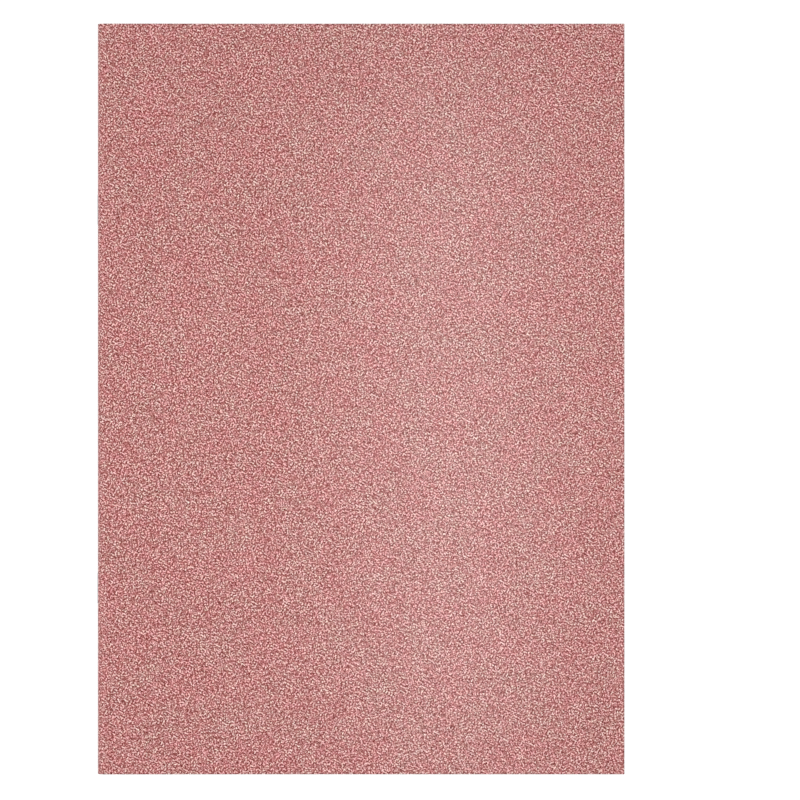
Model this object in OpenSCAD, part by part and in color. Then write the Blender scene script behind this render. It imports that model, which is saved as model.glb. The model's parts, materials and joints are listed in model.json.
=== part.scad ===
// A stapled exercise book with a folded card cover, closed and lying on its back.
// The fold runs along Y on the -X side, the head of the page is at +Y, and the front cover faces +Z.
// The origin is on the surface that the book lies on, under the middle of the book.

/* [Format] */
// Width of the closed book, from the fold of the cover to the trimmed fore-edge
book_w = 208.5; // [140:0.5:260]
// Height of the book, from tail to head
book_h = 297; // [200:1:360]

/* [Sheets] */
// Number of folded sheets, each of which makes two leaves
sheet_count = 24; // [12:1:40]
// Thickness of one sheet, with the air that stays beside it in the stack
sheet_t = 0.1; // [0.08:0.01:0.14]
// Gap that stays open between the two middle leaves
middle_gap = 0.1; // [0.05:0.05:0.3]
// Width of the parting line between two sheets along the trimmed edges
parting_w = 0.03; // [0.02:0.005:0.05]
// Depth of the parting line
parting_d = 0.3; // [0.1:0.05:0.6]
// Distance from the fold over which the thicker back of the book runs out
swell_l = 60; // [30:1:100]

/* [Cover] */
// Thickness of the coated card
card_t = 0.45; // [0.4:0.05:0.7]
// Clearance between the card and the sheets
card_gap = 0.2; // [0.15:0.05:0.4]
// Gap between the two halves of the cover along the fold
crease_gap = 0.1; // [0.05:0.05:0.2]

/* [Staples] */
// Thickness of the staple wire
wire_d = 0.5; // [0.4:0.05:0.55]
// Distance between the two legs of a staple
crown_l = 12; // [9:0.5:15]
// Length of each leg that is bent flat along the middle fold
clinch_l = 3.6; // [2:0.2:4.4]
// Distance between the middles of the two staples
staple_pitch = 150; // [90:5:180]
// Clearance round a leg in the hole that it pierces
pierce_gap = 0.05; // [0.05:0.01:0.06]
// Clearance round the crown in the cover, and round the bent legs in the middle fold
wire_gap = 0.08; // [0.07:0.01:0.1]

/* [Ruling] */
// Distance between two ruled lines
rule_pitch = 8; // [6:0.5:12]
// Width of a ruled line
rule_w = 0.4; // [0.2:0.05:0.6]
// Thickness of the printed ink
ink_t = 0.03; // [0.02:0.005:0.06]
// Space between the head of the page and the first line
head_space = 28; // [15:1:40]
// Least space between the last line and the tail of the page
tail_space = 12; // [8:1:30]
// Distance of the margin line from the left edge of the page
margin_x = 26; // [15:1:40]

/* [Hidden] */

WHITE = [0.96, 0.96, 0.96];
ROSE = [0.76, 0.54, 0.53];
STEEL = [0.74, 0.75, 0.77];
GREY = [0.78, 0.78, 0.79];

// How far a cutter runs past the face that it cuts.
OVERCUT = 1;
// Steps of the slope beside the fold.
SLOPE_STEPS = 6;

// The innermost sheet closes round the bent legs, and each further layer lies round the one before it.
inner_r = wire_d / 2 + wire_gap;
stack_r = inner_r + sheet_count * sheet_t;
card_in_r = stack_r + card_gap;
card_out_r = card_in_r + card_t;

// The middle of the crown lies on the outermost line of the fold, and half its wire stands proud there.
fold_x = wire_d / 4 - book_w / 2;
fore_x = fold_x + book_w;
fold_cx = fold_x + card_out_r;
fold_cz = card_out_r;

// The upper leaves come down by this much, from beside the bent legs to the middle gap.
swell_drop = 2 * inner_r - middle_gap;
slope = [for (i = [0 : SLOPE_STEPS]) let (u = i / SLOPE_STEPS)
    [fold_cx + u * swell_l, -swell_drop * u * u * (3 - 2 * u)]];

// The wire is bent about as tightly as it can be. This is the radius to its middle.
bend_r = 0.8 * wire_d;

line_count = floor((book_h - head_space - tail_space) / rule_pitch) + 1;

function reversed(path) = [for (i = [len(path) - 1 : -1 : 0]) path[i]];

// The point at x of the line over the upper leaves, which starts at radius r above the fold.
function upper_point(r, x) = [x, fold_cz + r + lookup(x, slope)];

// That line after x = from and as far as x = to.
function upper_line(r, from, to) =
    [for (x = concat([for (p = slope) if (p[0] > from && p[0] < to) p[0]], [to])) upper_point(r, x)];

// Section of what is cut away behind the fold to leave it round, with radius r.
module round_back_cutter(r) {
    difference() {
        translate([fold_cx - r - OVERCUT, fold_cz - r - OVERCUT])
            square([r + OVERCUT, 2 * (r + OVERCUT)]);
        translate([fold_cx, fold_cz])
            circle(r, $fn = 96);
    }
}

// Section of all that lies within radius r of the fold, and beside it as far as x = to.
module filled_section(r, to) {
    behind = fold_cx - r - OVERCUT / 2;
    difference() {
        polygon(concat([[to, fold_cz - r], [behind, fold_cz - r], [behind, fold_cz + r]],
                       [upper_point(r, fold_cx)], upper_line(r, fold_cx, to)));
        round_back_cutter(r);
    }
}

// Section of a layer between two radii, which lies round the fold and is open at the fore-edge.
module layer_section(inner, outer) {
    difference() {
        filled_section(outer, fore_x);
        filled_section(inner, fore_x + OVERCUT);
    }
}

// Section of a strip of ink on the upper leaves, between two places across the page.
module ink_section(from, to) {
    under = concat([upper_point(stack_r, from)], upper_line(stack_r, from, to));
    over = concat([upper_point(stack_r + ink_t, from)], upper_line(stack_r + ink_t, from, to));
    polygon(concat(under, reversed(over)));
}

// Carries a section in X and Z along the height of the book, centred at y.
module along_height(length, y = 0) {
    translate([0, y, 0])
        rotate([90, 0, 0])
            linear_extrude(length, center = true)
                children();
}

// Puts its children at each of the two staples, on the outermost line of the fold.
module at_each_staple() {
    for (y = [-staple_pitch / 2, staple_pitch / 2])
        translate([fold_x, y, fold_cz])
            children();
}

// Holes that the legs pierce, from the back of the fold to the middle leaves.
module leg_holes() {
    at_each_staple()
        for (side = [-1, 1])
            translate([0, side * crown_l / 2, 0])
                rotate([0, 90, 0])
                    cylinder(r = wire_d / 2 + pierce_gap, h = card_out_r, $fn = 32);
}

// Grooves that the crowns press into the fold of the cover.
module crown_grooves() {
    at_each_staple()
        rotate([90, 0, 0])
            cylinder(r = wire_d / 2 + wire_gap, h = crown_l + wire_d + 2 * wire_gap, center = true, $fn = 32);
}

// Section of the parting line outside the sheet numbered n.
module parting_section(n) {
    r = inner_r + n * sheet_t;
    layer_section(r - parting_w / 2, r + parting_w / 2);
}

// Parting lines between the sheets along the head, the tail and the fore-edge.
module parting_lines() {
    for (n = [1 : sheet_count - 1]) {
        for (end = [-1, 1])
            along_height(2 * parting_d, end * book_h / 2)
                parting_section(n);
        along_height(book_h + OVERCUT)
            intersection() {
                parting_section(n);
                translate([fore_x - parting_d, 0])
                    square([parting_d + OVERCUT, 2 * card_out_r]);
            }
    }
}

// The folded sheets, one inside the other, as one body.
module pages() {
    color(WHITE)
        difference() {
            along_height(book_h)
                layer_section(inner_r, stack_r);
            parting_lines();
            leg_holes();
        }
}

// The half of the folded card that starts at the height z of the crease and reaches depth further.
module cover_half(z, depth) {
    color(ROSE)
        difference() {
            along_height(book_h)
                intersection() {
                    layer_section(card_in_r, card_out_r);
                    translate([fold_x - OVERCUT, z])
                        square([book_w + 2 * OVERCUT, depth]);
                }
            crown_grooves();
            leg_holes();
        }
}

// The half over the first page.
module front_cover() {
    cover_half(fold_cz + crease_gap / 2, card_out_r + OVERCUT);
}

// The half under the last page.
module back_cover() {
    cover_half(-OVERCUT, OVERCUT + fold_cz - crease_gap / 2);
}

// Quarter turn of the wire, from +Y towards +X, round a centre beside it.
module wire_bend() {
    rotate_extrude(angle = 90, $fn = 48)
        translate([bend_r, 0])
            circle(d = wire_d, $fn = 32);
}

module wire(length) {
    cylinder(d = wire_d, h = length, $fn = 32);
}

// Half a staple: half the crown, one leg through the fold, and its end bent flat and cut to a chisel point.
module half_staple() {
    straight = crown_l / 2 - bend_r;
    rotate([-90, 0, 0])
        wire(straight);
    translate([bend_r, straight, 0])
        rotate([0, 0, 90])
            wire_bend();
    translate([bend_r, crown_l / 2, 0])
        rotate([0, 90, 0])
            wire(card_out_r - 2 * bend_r);
    translate([card_out_r - bend_r, straight, 0])
        wire_bend();
    translate([card_out_r, straight, 0])
        difference() {
            rotate([90, 0, 0])
                wire(clinch_l - bend_r);
            translate([-wire_d / 2, bend_r - clinch_l, -wire_d])
                rotate([0, 0, -135])
                    cube(2 * wire_d);
        }
}

// A staple seen from the outermost line of the fold, with its legs towards the fore-edge.
module staple() {
    color(STEEL) {
        half_staple();
        mirror([0, 1, 0])
            half_staple();
    }
}

module staple_head() {
    translate([fold_x, staple_pitch / 2, fold_cz])
        staple();
}

module staple_tail() {
    translate([fold_x, -staple_pitch / 2, fold_cz])
        staple();
}

// Height on the page of the ruled line numbered n, counted from the head.
function rule_y(n) = book_h / 2 - head_space - n * rule_pitch;

// Ruled lines over the first page, and the margin line on its left, beside the fold.
module first_page_ruling() {
    left = fold_x + margin_x - rule_w / 2;
    color(GREY) {
        for (n = [0 : line_count - 1])
            along_height(rule_w, rule_y(n))
                ink_section(fold_cx, fore_x);
        along_height(book_h)
            ink_section(left, left + rule_w);
    }
}

// Ruled lines under the last page, and its margin line, which is beside the fore-edge.
module last_page_ruling() {
    page_z = fold_cz - stack_r;
    color(GREY) {
        for (n = [0 : line_count - 1])
            translate([fold_cx, rule_y(n) - rule_w / 2, page_z - ink_t])
                cube([fore_x - fold_cx, rule_w, ink_t]);
        translate([fore_x - margin_x - rule_w / 2, -book_h / 2, page_z - ink_t])
            cube([rule_w, book_h, ink_t]);
    }
}

pages();
front_cover();
back_cover();
staple_head();
staple_tail();
first_page_ruling();
last_page_ruling();
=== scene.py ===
"""A lined exercise book, lying on its back and seen from straight above.

The book is put together in the order in which it is made: the nested sheets, their ruling, the glitter card
that is folded round them, and the wire staples. The table, the lamps and the camera come last. Lengths are
in metres. X runs from the fold to the fore-edge, Y from the tail to the head, and Z up.
"""

import json

import bpy
import numpy as np
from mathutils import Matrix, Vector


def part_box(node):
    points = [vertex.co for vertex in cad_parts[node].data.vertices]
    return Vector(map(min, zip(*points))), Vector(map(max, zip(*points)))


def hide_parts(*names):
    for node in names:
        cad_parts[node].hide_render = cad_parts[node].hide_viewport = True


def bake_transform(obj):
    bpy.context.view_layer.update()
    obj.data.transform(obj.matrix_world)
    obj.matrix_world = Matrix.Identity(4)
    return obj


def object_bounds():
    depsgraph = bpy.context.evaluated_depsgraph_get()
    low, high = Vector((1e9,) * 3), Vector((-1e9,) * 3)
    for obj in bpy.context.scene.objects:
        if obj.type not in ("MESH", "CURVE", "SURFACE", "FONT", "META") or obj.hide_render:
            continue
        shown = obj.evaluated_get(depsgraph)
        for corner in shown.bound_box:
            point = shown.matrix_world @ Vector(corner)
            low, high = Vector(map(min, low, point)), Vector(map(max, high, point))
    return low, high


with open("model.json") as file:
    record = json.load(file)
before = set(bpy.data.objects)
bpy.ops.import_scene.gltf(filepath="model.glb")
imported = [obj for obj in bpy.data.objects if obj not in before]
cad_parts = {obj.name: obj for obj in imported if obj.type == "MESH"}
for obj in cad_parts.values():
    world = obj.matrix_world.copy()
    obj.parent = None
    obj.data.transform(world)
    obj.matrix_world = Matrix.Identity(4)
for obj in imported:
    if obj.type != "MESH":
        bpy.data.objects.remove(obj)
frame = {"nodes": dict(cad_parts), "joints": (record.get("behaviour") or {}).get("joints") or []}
frame_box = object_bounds()

# The sheets. White offset paper, folded once, nested, and cut on three sides in one go. Their solid has the
# parting line between each sheet and the next, so what it needs here is its paper: cloudy in the sheet, and
# lighter or darker from sheet to sheet and from one bunch of sheets to the next along the cut edges.
PAPER_WHITE = (0.90, 0.90, 0.915, 1)
PAPER_CLOUDY = (0.86, 0.86, 0.875, 1)
CUT_LIGHT = (0.94, 0.935, 0.92, 1)
CUT_DARK = (0.80, 0.795, 0.78, 1)
CUT_FACING = 0.7
BUNCH_THICK = 0.0005
BUNCH_DRAWN = 0.01
HALVES_APART = 0.01
CLOUD_SIZE = 0.003
FIBRE_SIZE = 0.00025
FIBRE_RELIEF = 0.00001
SOFT_STEP = (0.3, 0.7)
CRISP_STEP = (0.35, 0.65)


class Value:
    """One output of a material's node.

    Arithmetic on it adds Math nodes, or Vector Math nodes where a vector or a colour takes part.
    """

    def __init__(self, finish, socket):
        self.finish = finish
        self.socket = socket

    def math(self, operation, *others):
        values = (self, *others)
        vector = any(isinstance(v, Value) and v.socket.type in ("VECTOR", "RGBA") for v in values)
        kind = "ShaderNodeVectorMath" if vector else "ShaderNodeMath"
        return self.finish.node(kind, {"operation": operation}, dict(enumerate(values)))

    def __add__(self, other):
        return self.math("ADD", other)

    def __sub__(self, other):
        return self.math("SUBTRACT", other)

    def __mul__(self, other):
        return self.math("MULTIPLY", other)

    def __rsub__(self, other):
        return self * -1 + other

    def __gt__(self, other):
        return self.math("GREATER_THAN", other)

    def __lt__(self, other):
        return self.math("LESS_THAN", other)

    def __abs__(self):
        return self.math("ABSOLUTE")

    def parts(self):
        """The three numbers of a vector or a colour."""
        vector = self.socket.type == "VECTOR"
        kind = "ShaderNodeSeparateXYZ" if vector else "ShaderNodeSeparateColor"
        return [self.finish.node(kind, {}, {0: self}, index) for index in range(3)]


class Finish:
    """A material, or the world, whose nodes are written as expressions."""

    def __init__(self, owner, output="ShaderNodeOutputMaterial"):
        owner.use_nodes = True
        self.owner = owner
        self.tree = owner.node_tree
        self.tree.nodes.clear()
        self.output = self.tree.nodes.new(output)

    def node(self, kind, settings, inputs, output=0):
        """Adds a node of a kind, makes its settings, fills its inputs, and gives one of its outputs.

        An input or output is named, or numbered among those that the settings leave in use. A Value is
        linked, and a number or a tuple is set.
        """
        node = self.tree.nodes.new(kind)
        for name, setting in settings.items():
            setattr(node, name, setting)
        ends_in_use = [s for s in node.inputs if s.enabled]
        for key, value in inputs.items():
            end = ends_in_use[key] if isinstance(key, int) else next(s for s in ends_in_use if s.name == key)
            if isinstance(value, Value):
                self.tree.links.new(value.socket, end)
            elif end.type == "VECTOR" and np.isscalar(value):
                end.default_value = (value, value, value)
            else:
                end.default_value = value
        starts_in_use = [s for s in node.outputs if s.enabled]
        start = starts_in_use[output] if isinstance(output, int) else node.outputs[output]
        return Value(self, start)

    def place(self):
        return self.node("ShaderNodeTexCoord", {}, {}, "Object")

    def mix(self, share, first, second):
        """A colour that goes from the first to the second as the share goes from 0 to 1."""
        return self.node("ShaderNodeMix", {"data_type": "RGBA"}, {0: share, 1: first, 2: second})

    def noise(self, place, size, detail=2.0, output=0):
        """Noise with patches of about the given size."""
        inputs = {"Vector": place, "Scale": 1 / size, "Detail": detail}
        return self.node("ShaderNodeTexNoise", {}, inputs, output)

    def step(self, value, low, high):
        """Goes smoothly from 0 to 1 as the value goes from low to high."""
        inputs = {"Value": value, "From Min": low, "From Max": high}
        return self.node("ShaderNodeMapRange", {"interpolation_type": "SMOOTHSTEP"}, inputs)

    def vector(self, x, y, z):
        return self.node("ShaderNodeCombineXYZ", {}, {0: x, 1: y, 2: z})

    def bump(self, height, relief):
        """A normal for a height that goes from 0 to 1 over the given relief."""
        return self.node("ShaderNodeBump", {}, {"Height": height, "Distance": relief})

    def principled(self, **inputs):
        """Ends the material in a Principled shader. An input's name has _ for its spaces."""
        named = {name.replace("_", " "): value for name, value in inputs.items()}
        return self.end(self.node("ShaderNodeBsdfPrincipled", {}, named))

    def end(self, shader):
        self.tree.links.new(shader.socket, self.output.inputs["Surface"])
        return self.owner


crease = frame["joints"][0]["pos_m"]
fold_radius = crease[2]
fold_middle_x = crease[0] + fold_radius


def sheet_paper():
    """Paper that is cloudy all over, and streaked from sheet to sheet where its face looks to a cut edge.

    The streaks are noise over the distance from the middle of the fold. It is drawn out along the edge, and
    the two halves of the book lie apart in it.
    """
    finish = Finish(bpy.data.materials.new("sheet_paper"))
    place = finish.place()
    x, y, z = place.parts()
    facing_x, facing_y, _ = finish.node("ShaderNodeTexCoord", {}, {}, "Normal").parts()
    cut = abs(facing_y).math("MAXIMUM", facing_x) > CUT_FACING
    beyond_fold = (x - fold_middle_x).math("MINIMUM", 0.0)
    from_fold = finish.vector(beyond_fold, 0.0, z - fold_radius)
    distance = finish.node("ShaderNodeVectorMath", {"operation": "LENGTH"}, {0: from_fold}, "Value")
    across = finish.vector(distance, (x + y) * BUNCH_DRAWN, (z > fold_radius) * HALVES_APART)
    streaks = finish.noise(across, BUNCH_THICK, detail=3.0)
    cloud = finish.noise(place, CLOUD_SIZE)
    fibre = finish.noise(place, FIBRE_SIZE)
    face = finish.mix(finish.step(cloud, *SOFT_STEP), PAPER_WHITE, PAPER_CLOUDY)
    edge = finish.mix(finish.step(streaks, *CRISP_STEP), CUT_LIGHT, CUT_DARK)
    return finish.principled(
        Base_Color=finish.mix(cut, face, edge),
        Roughness=0.85,
        Specular_IOR_Level=0.25,
        Normal=finish.bump(fibre, FIBRE_RELIEF),
    )


def give(node, material):
    """Gives a carried-over node one finish all over."""
    materials = frame["nodes"][node].data.materials
    materials.clear()
    materials.append(material)


give("pages", sheet_paper())

# The ruling. Grey feint lines and a paler margin line, printed on the sheets before they are folded. The ink
# is thin and sinks into the paper, so a line is a little uneven along its length.
INK_GREY = (0.44, 0.445, 0.465, 1)
INK_THIN = (0.56, 0.565, 0.58, 1)
MARGIN_GREY = (0.62, 0.625, 0.64, 1)
INK_SPECK = 0.0004
INK_STEP = (0.35, 0.7)
MARGIN_SPACE = 0.026
MARGIN_NEAR = 0.0003


def ruling_ink(margin_x):
    """Grey ink in specks of two tones, paler within a line's width of the margin line."""
    finish = Finish(bpy.data.materials.new("ruling_ink"))
    place = finish.place()
    speck = finish.step(finish.noise(place, INK_SPECK), *INK_STEP)
    line = finish.mix(speck, INK_GREY, INK_THIN)
    from_margin = abs(place.parts()[0] - margin_x)
    return finish.principled(
        Base_Color=finish.mix(from_margin < MARGIN_NEAR, line, MARGIN_GREY),
        Roughness=0.8,
        Specular_IOR_Level=0.25,
    )


fore_edge_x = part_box("pages")[1].x
give("first_page_ruling", ruling_ink(crease[0] + MARGIN_SPACE))
give("last_page_ruling", ruling_ink(fore_edge_x - MARGIN_SPACE))

# The cover. One sheet of white board that is coated on one side with rose glitter under clear varnish,
# folded round the sheets and trimmed with them. It is made as two halves that meet at the crease.
CARD_THICK = 0.00045
EDGE_ROUND = 0.00004
SWELL_RUN = 0.060
SWELL_DROP = 0.00056
CROWN_PRESS = 0.00027
CROWN_RUNOUT = 0.0006
STAPLES = ("staple_head", "staple_tail")
CREASE_TURNS = (0, 6, 9)
FOLD_TURNS = (9, 90, 16)
SWELL_POINTS = 25
LEVEL_POINTS = 12
STATIONS = 45
CROWN_REACH = 0.0012
CROWN_STEP = 0.0002
CORNER_DEPTHS = (0.1, 0.9)
SHARP_ANGLE = 40
COATED, BARE, CUT = 0, 1, 2
MAP_EDGE = 0.002
MAP_SPAN = 0.996
PATCH_STRIPS = ((0.002, 0.688), (0.940, 0.010), (0.700, 0.230), (0.955, 0.008))
CUT_ROOM = 0.05
END_STRIPS = (0.970, 0.985)
END_WIDTH = 0.01

half_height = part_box("front_cover")[1].y
fore_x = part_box("front_cover")[1].x
card_length = fore_x - fold_middle_x + fold_radius * np.pi / 2


def smooth(share):
    """The share from 0 to 1, started and ended gently."""
    share = np.clip(share, 0, 1)
    return share * share * (3 - 2 * share)


def card_line(radius, end_x, side):
    """Places across the page of a line at one depth in the card, as x and z.

    A quarter turn about the middle of the fold, with closer points at the crease, and then straight to the
    given end. CREASE_TURNS and FOLD_TURNS have the first turn, the last turn and the number of points. The
    front half, on side 1, comes down over the swell as the leaves under it do.
    """
    turn = np.radians(np.concatenate([np.linspace(*CREASE_TURNS), np.linspace(*FOLD_TURNS)]))
    swell = np.linspace(0, SWELL_RUN, SWELL_POINTS)
    level = np.linspace(SWELL_RUN, end_x - fold_middle_x, LEVEL_POINTS)
    flat = np.concatenate([swell[1:], level[1:]])
    x = fold_middle_x + np.concatenate([-radius * np.cos(turn), flat])
    drop = SWELL_DROP * smooth((x - fold_middle_x) / SWELL_RUN) if side > 0 else 0
    z = np.concatenate([radius * np.sin(turn), np.full(len(flat), radius)]) - drop
    return x, fold_radius + side * z


def card_section(inset, side):
    """Outline of the card, shrunk by an inset: outer line, two corners of the cut edge, and inner line."""
    end_x = fore_x - inset
    outer_x, outer_z = card_line(fold_radius - inset, end_x - EDGE_ROUND, side)
    inner_x, inner_z = card_line(fold_radius - CARD_THICK + inset, end_x - EDGE_ROUND, side)
    corner_z = [outer_z[-1] - side * EDGE_ROUND, inner_z[-1] + side * EDGE_ROUND]
    x = np.concatenate([outer_x, [end_x, end_x], inner_x[::-1]])
    z = np.concatenate([outer_z, corner_z, inner_z[::-1]])
    return x, z


def card_stations():
    """Places along the height: even steps, close ones at the staples' crowns, and two at each cut end."""
    steps = [np.linspace(-half_height + EDGE_ROUND, half_height - EDGE_ROUND, STATIONS)]
    for staple in STAPLES:
        low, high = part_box(staple)
        steps.append(np.arange(low.y - CROWN_REACH, high.y + CROWN_REACH, CROWN_STEP))
    return np.concatenate([[-half_height], np.unique(np.concatenate(steps)), [half_height]])


def press_crowns(x, y, z):
    """Moves what lies under the crowns of the staples in, to a round groove about the wire.

    A point nearer to the line of the crease than the groove's radius goes out to that radius, and turns
    towards the inside of the card by the share that it lacked. Past the ends of a crown the radius runs out
    to nothing.
    """
    radius = np.zeros_like(y)
    for staple in STAPLES:
        low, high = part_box(staple)
        beyond = np.maximum(low.y - y, y - high.y)
        radius = np.maximum(radius, CROWN_PRESS * smooth(1 - beyond / CROWN_RUNOUT))
    across, up = x - crease[0], z - crease[2]
    away = np.hypot(across, up)
    share = away / np.maximum(radius, 1e-9)
    turned = np.arctan2(up, across) * np.minimum(share, 1)
    under = share < 1
    x = np.where(under, crease[0] + radius * np.cos(turned), x)
    return x, np.where(under, crease[2] + radius * np.sin(turned), z)


def quads(grid):
    """The four corners of every cell of a grid, in turn."""
    corners = [grid[:-1, :-1], grid[1:, :-1], grid[1:, 1:], grid[:-1, 1:]]
    return np.stack(corners, axis=2).reshape(-1, 4, *grid.shape[2:])


def card_half(name, side, materials):
    """One half of the folded card as a closed mesh: its section carried from the tail to the head.

    The patches are the coated face, the cut fore-edge, the inner face, the end at the crease, and the cut
    ends at the tail and the head. The map "card" has the distance from the crease and the height in metres,
    and OFBake lays the patches side by side in strips, the coated face largest.
    """
    y = card_stations()
    full_x, full_z = card_section(0, side)
    end_x, end_z = card_section(EDGE_ROUND, side)
    x = np.tile(full_x[:, None], len(y))
    z = np.tile(full_z[:, None], len(y))
    x[:, 0] = x[:, -1] = end_x
    z[:, 0] = z[:, -1] = end_z
    points = len(full_x)
    line = points // 2 - 1
    x[:line], z[:line] = press_crowns(x[:line], np.tile(y, (line, 1)), z[:line])

    walked = np.hypot(np.diff(full_x[:line]), np.diff(full_z[:line]))
    out = np.concatenate([[0], np.cumsum(walked)])
    out = np.concatenate([out, out[-1:], out[-1:], out[::-1]])
    length = out[line - 1]
    depth = np.concatenate([np.zeros(line), CORNER_DEPTHS, np.ones(line)])

    number = np.arange(points * len(y)).reshape(points, len(y))
    spread = np.stack(np.broadcast_arrays(side * out[:, None], y), axis=-1)
    up_map = (y / half_height + 1) / 2 * MAP_SPAN + MAP_EDGE
    rows = [range(0, line), range(line - 1, line + 3), range(line + 2, points), [points - 1, 0]]
    along = [out / length, (depth + CUT_ROOM) / (1 + 2 * CUT_ROOM), out / length, depth]
    flat_map = [
        np.stack(np.broadcast_arrays((start + width * across[list(row)])[:, None], up_map), axis=-1)
        for row, (start, width), across in zip(rows, PATCH_STRIPS, along)
    ]
    patches = [(number[list(row)], spread[list(row)], places) for row, places in zip(rows, flat_map)]
    kinds = [COATED, CUT, BARE, CUT]
    over, under = np.arange(line + 1), np.arange(points - 1, line, -1)
    for station, start in zip((0, -1), END_STRIPS):
        pair = np.stack([under, over] if station == 0 else [over, under], axis=1)
        right = start + END_WIDTH * depth[pair]
        up = MAP_EDGE + MAP_SPAN * np.minimum(out[over], length)[:, None] / length
        strip = np.stack(np.broadcast_arrays(right, up), axis=-1)
        patches.append((number[pair, station], spread[pair, station], strip))
        kinds.append(CUT)

    corners = np.concatenate([quads(numbers) for numbers, _, _ in patches])
    card_map = np.concatenate([quads(places) for _, places, _ in patches])
    bake_map = np.concatenate([quads(places) for _, _, places in patches])
    kind = np.concatenate([[k] * len(quads(numbers)) for (numbers, _, _), k in zip(patches, kinds)])
    if side < 0:
        corners, card_map, bake_map = corners[:, ::-1], card_map[:, ::-1], bake_map[:, ::-1]

    mesh = bpy.data.meshes.new(name)
    places = np.stack([x, np.broadcast_to(y, x.shape), z], axis=-1).reshape(-1, 3)
    mesh.from_pydata(places.tolist(), [], corners.tolist())
    for map_name, values in (("card", card_map), ("OFBake", bake_map)):
        mesh.uv_layers.new(name=map_name).data.foreach_set("uv", values.ravel())
    mesh.attributes.new("depth", "FLOAT", "POINT").data.foreach_set("value", np.repeat(depth, len(y)))
    for material in materials:
        mesh.materials.append(material)
    mesh.polygons.foreach_set("material_index", kind)
    mesh.shade_smooth()
    mesh.set_sharp_from_angle(angle=np.radians(SHARP_ANGLE))
    mesh.update()
    half = bpy.data.objects.new(name, mesh)
    bpy.context.scene.collection.objects.link(half)
    return half


GLITTER_ROSE = (0.664, 0.417, 0.405)
TONE_STEP = (0.30, 0.33, 0.335)
TONE_LIFT = 0.25
TONE_MOST = 0.88
DARKEST = 0.03
LIGHTEST = 0.98
EYE_POWER = 2.2
FLAKE_SIZE = 0.00028
FLAKE_TILT = 0.3
FLAKE_SHARE = 0.42
FLAKE_METAL = 0.35
FLAKE_SMOOTH = 0.3
FLAKE_ROUGH = 0.6
VARNISH_ROUGH = 0.23
DRIFT_SIZE = 0.00056
DRIFT_TURN = 0.5
DRIFT_SHARE = 5.1
CLUMP_SHARE = 0.2
# A narrow band along the three cut edges of the coated face is darker and less red.
EDGE_BAND_WIDTH = 0.0006
EDGE_DARKENED = (0.88, 0.95, 0.95, 1)
# The painted glint colour of the brightest flakes.
PAINTED_GLINT = (0.95, 0.67, 0.61, 1)
GLINT_TONE = 1.1
PATCH_ROSY = (1.0, 0.915, 0.935, 1)
PATCH_PALE = (1.0, 1.085, 1.06, 1)
PATCH_WARM = (1.0, 1.0, 0.975, 1)
PATCH_COOL = (1.0, 1.0, 1.025, 1)
PATCH_SIZE = 0.003
MOTTLE_ROSY = (1.018, 0.958, 0.972, 1)
MOTTLE_TAN = (0.982, 1.042, 1.02, 1)
MOTTLE_SIZE = 0.015
MOTTLE_STEP = (0.2, 0.8)


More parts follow.
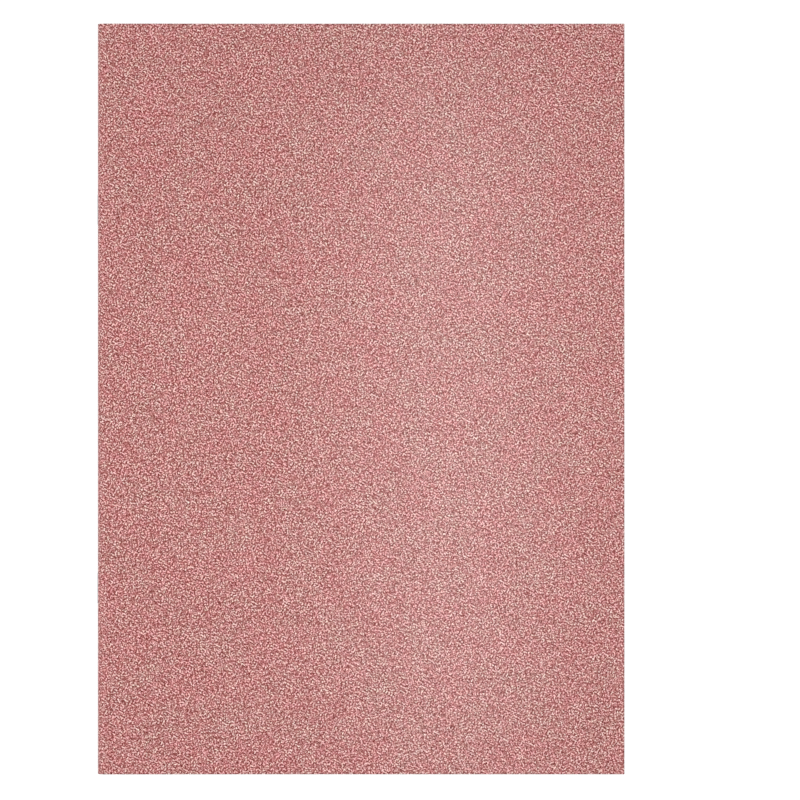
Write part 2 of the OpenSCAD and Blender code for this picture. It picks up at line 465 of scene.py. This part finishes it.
def rose_glitter():
    """Flakes that lie at all small angles under clear varnish.

    Each cell of a Voronoi pattern is a flake. Its tone, partly the flake's own colour and partly painted
    sparkle, is the sum of noise at its middle, by which flakes that have drifted together are alike, of a
    random share of its own, and of a share by which a whole clump is lighter or darker. Tones are in even
    steps to the eye, so what is added up is raised to EYE_POWER. The few flakes above a set tone are painted
    as glints in one bright colour. The flake's random numbers also tilt it. Patches of a few millimetres are
    rosier or paler, and warmer or cooler, and a wide mottle goes from rosy to tan. A narrow band along the
    three cut edges is darker and less red.
    """
    finish = Finish(bpy.data.materials.new("rose_glitter"))
    place = finish.node("ShaderNodeUVMap", {"uv_map": "card"}, {})
    cells = {"Vector": place, "Scale": 1 / FLAKE_SIZE}
    flake = finish.node("ShaderNodeTexVoronoi", {"voronoi_dimensions": "2D"}, cells, "Color")
    middle = finish.node("ShaderNodeTexVoronoi", {"voronoi_dimensions": "2D"}, cells, "Position")
    first, second, third = flake.parts()
    turned = finish.node("ShaderNodeVectorRotate", {}, {"Vector": middle, "Angle": DRIFT_TURN})
    drift = (finish.noise(turned, DRIFT_SIZE, detail=0.0) - 0.5) * DRIFT_SHARE
    pale, clump, cool = finish.noise(place, PATCH_SIZE, 0.0, "Color").parts()
    # The flake tone stands partly for the flakes' own colour and partly for painted sparkle.
    tone = drift + (first + second - 1) * FLAKE_SHARE + (clump - 0.5) * CLUMP_SHARE
    capped = tone.math("MINIMUM", TONE_MOST)
    lifted = capped + capped * capped * TONE_LIFT
    channels = [
        (lifted * step + rose).math("MAXIMUM", DARKEST).math("MINIMUM", LIGHTEST).math("POWER", EYE_POWER)
        for step, rose in zip(TONE_STEP, GLITTER_ROSE)
    ]
    plain = finish.node("ShaderNodeCombineColor", {}, dict(enumerate(channels)))
    # Flakes whose tone passes the threshold are painted as glints in one bright colour.
    colour = finish.mix(tone > GLINT_TONE, plain, PAINTED_GLINT)
    out, up, _ = place.parts()
    inside_cut = (card_length - abs(out)).math("MINIMUM", half_height - abs(up))
    # A narrow band along the three cut edges is made darker and less red.
    edge_darkening = finish.mix(inside_cut < EDGE_BAND_WIDTH, (1, 1, 1, 1), EDGE_DARKENED)
    patch = finish.mix(finish.step(pale, *SOFT_STEP), PATCH_ROSY, PATCH_PALE)
    patch = patch * finish.mix(finish.step(cool, *SOFT_STEP), PATCH_WARM, PATCH_COOL)
    wide = finish.step(finish.noise(place, MOTTLE_SIZE, detail=0.0), *MOTTLE_STEP)
    mottle = finish.mix(wide, MOTTLE_ROSY, MOTTLE_TAN)
    facing = finish.node("ShaderNodeNewGeometry", {}, {}, "Normal")
    tilted = facing + (flake - (0.5, 0.5, 0.5)) * FLAKE_TILT
    roughness = {"Value": third, "To Min": FLAKE_SMOOTH, "To Max": FLAKE_ROUGH}
    return finish.principled(
        Base_Color=colour * patch * mottle * edge_darkening,
        Metallic=FLAKE_METAL,
        Roughness=finish.node("ShaderNodeMapRange", {}, roughness),
        Specular_IOR_Level=0.0,
        Coat_Weight=second,
        Coat_Roughness=VARNISH_ROUGH,
        Normal=tilted.math("NORMALIZE"),
    )


BOARD_WHITE = (0.86, 0.855, 0.84, 1)
BOARD_CLOUDY = (0.83, 0.825, 0.81, 1)
CORE_LIGHT = (0.78, 0.765, 0.74, 1)
CORE_DARK = (0.58, 0.56, 0.53, 1)
COAT_CUT = (0.42, 0.19, 0.18, 1)
COAT_SHARE = 0.22
CORE_FIBRE = 0.00012


def board_inside():
    """The bare side of the board: white, faintly cloudy, with a fine tooth."""
    finish = Finish(bpy.data.materials.new("board_inside"))
    place = finish.place()
    cloud = finish.step(finish.noise(place, CLOUD_SIZE), *SOFT_STEP)
    return finish.principled(
        Base_Color=finish.mix(cloud, BOARD_WHITE, BOARD_CLOUDY),
        Roughness=0.8,
        Specular_IOR_Level=0.3,
        Normal=finish.bump(finish.noise(place, FIBRE_SIZE), FIBRE_RELIEF),
    )


def board_cut():
    """The cut edge: fibres of the core in light and dark, and the coat as a thin rose line along it."""
    finish = Finish(bpy.data.materials.new("board_cut"))
    place = finish.place()
    depth = finish.node("ShaderNodeAttribute", {"attribute_name": "depth"}, {}, "Fac")
    fibre = finish.noise(place, CORE_FIBRE)
    core = finish.mix(finish.step(fibre, *CRISP_STEP), CORE_LIGHT, CORE_DARK)
    return finish.principled(
        Base_Color=finish.mix(depth < COAT_SHARE, core, COAT_CUT),
        Roughness=0.85,
        Specular_IOR_Level=0.25,
        Normal=finish.bump(fibre, FIBRE_RELIEF),
    )


card_materials = [rose_glitter(), board_inside(), board_cut()]
for cover, side in (("front_cover", 1), ("back_cover", -1)):
    half = card_half(cover.replace("cover", "card"), side, card_materials)
    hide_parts(cover)
    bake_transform(half)

# The staples. Round galvanised wire, cut, driven through the fold from outside and bent flat inside. The
# solids have their form, so they get bright zinc with fine lines along the wire from the drawing die.
ZINC = (0.62, 0.63, 0.65, 1)
ZINC_DULL = (0.42, 0.43, 0.45, 1)
DRAW_LINE = 0.00005
DRAW_RELIEF = 0.000004
DRAWN_OUT = (1.0, 0.05, 1.0)


def zinc_wire():
    """Zinc that is streaked lengthwise, so its noise is drawn out along the crown."""
    finish = Finish(bpy.data.materials.new("zinc_wire"))
    streaks = finish.noise(finish.place() * DRAWN_OUT, DRAW_LINE, detail=3.0)
    return finish.principled(
        Base_Color=finish.mix(finish.step(streaks, *SOFT_STEP), ZINC, ZINC_DULL),
        Metallic=1.0,
        Roughness=0.32,
        Normal=finish.bump(streaks, DRAW_RELIEF),
    )


for staple in STAPLES:
    give(staple, zinc_wire())

# The table, the lamps and the camera. A white table that keeps the book's faint shadow, an even white room,
# a strip lamp above the book, which makes a soft light band along it, and a wide lamp beside the fold.
TABLE_REACH = 3.0
TABLE_Z = -0.0001
TABLE_WHITE = (0.85, 0.85, 0.85, 1)
TABLE_GLOW = 0.82
TABLE_SHADED = (0.30, 0.30, 0.30, 1)
ROOM_FILL = 0.75
STRIP_PLACE = (0.0435, -0.012, 0.70)
STRIP_SIZE = (0.06, 0.38)
STRIP_POWER = 0.63
SIDE_PLACE = (-0.9, 0, 0.7)
SIDE_SIZE = (1.0, 1.2)
SIDE_POWER = 2.7
LENS = 200.0
SENSOR = 36.0
PICTURE_WIDTH = 0.3165
PICTURE_MIDDLE = (0.01558, -0.00040)


def table_top():
    """A square that lights the book as plain white does, and is seen as a white glow that takes shadows."""
    mesh = bpy.data.meshes.new("table_top")
    square = ((-1, -1), (1, -1), (1, 1), (-1, 1))
    corners = [(right * TABLE_REACH, up * TABLE_REACH, TABLE_Z) for right, up in square]
    mesh.from_pydata(corners, [], [(0, 1, 2, 3)])
    finish = Finish(bpy.data.materials.new("table_white"))
    lit = finish.node("ShaderNodeBsdfDiffuse", {}, {"Color": TABLE_WHITE})
    kept = finish.node("ShaderNodeBsdfDiffuse", {}, {"Color": TABLE_SHADED})
    glow = finish.node("ShaderNodeEmission", {}, {"Strength": TABLE_GLOW})
    seen = finish.node("ShaderNodeAddShader", {}, {0: kept, 1: glow})
    shader = finish.node("ShaderNodeMixShader", {}, {0: looked_at(finish), 1: lit, 2: seen})
    mesh.materials.append(finish.end(shader))
    top = bpy.data.objects.new("table_top", mesh)
    bpy.context.scene.collection.objects.link(top)


def looked_at(finish):
    """1 for what the camera sees, also in metal or through something clear, and 0 for what only lights."""
    camera, glossy, clear = (
        finish.node("ShaderNodeLightPath", {}, {}, ray)
        for ray in ("Is Camera Ray", "Is Glossy Ray", "Is Transmission Ray")
    )
    return camera.math("MAXIMUM", glossy).math("MAXIMUM", clear)


def room():
    """An even room that is white where it is looked at, and fills the shadows a little less."""
    world = bpy.data.worlds.new("room")
    bpy.context.scene.world = world
    finish = Finish(world, "ShaderNodeOutputWorld")
    fill = {"Value": looked_at(finish), "To Min": ROOM_FILL, "To Max": 1.0}
    strength = finish.node("ShaderNodeMapRange", {}, fill)
    finish.end(finish.node("ShaderNodeBackground", {}, {"Color": (1, 1, 1, 1), "Strength": strength}))


def lamp(name, place, size, power, turn):
    """A soft lamp of width and length size, hung level and then turned towards the fold or away from it."""
    light = bpy.data.lights.new(name, "AREA")
    light.energy = power
    light.shape = "RECTANGLE"
    light.size, light.size_y = size
    stand = bpy.data.objects.new(name, light)
    stand.location = place
    stand.rotation_euler = (0, turn, 0)
    stand.visible_camera = False
    bpy.context.scene.collection.objects.link(stand)


def camera():
    """Looks straight down, from where the picture is PICTURE_WIDTH wide at the top of the book."""
    seen = bpy.data.cameras.new("camera")
    seen.lens = LENS
    seen.sensor_width = SENSOR
    seen.clip_start = 0.01
    place = bpy.data.objects.new("camera", seen)
    place.location = (*PICTURE_MIDDLE, frame_box[1].z - SWELL_DROP + PICTURE_WIDTH * LENS / SENSOR)
    bpy.context.scene.collection.objects.link(place)
    bpy.context.scene.camera = place


table_top()
room()
lamp("strip_lamp", STRIP_PLACE, STRIP_SIZE, STRIP_POWER, 0)
lamp("side_lamp", SIDE_PLACE, SIDE_SIZE, SIDE_POWER, np.arctan2(SIDE_PLACE[0], SIDE_PLACE[2]))
camera()
bpy.context.scene.view_settings.view_transform = "Standard"
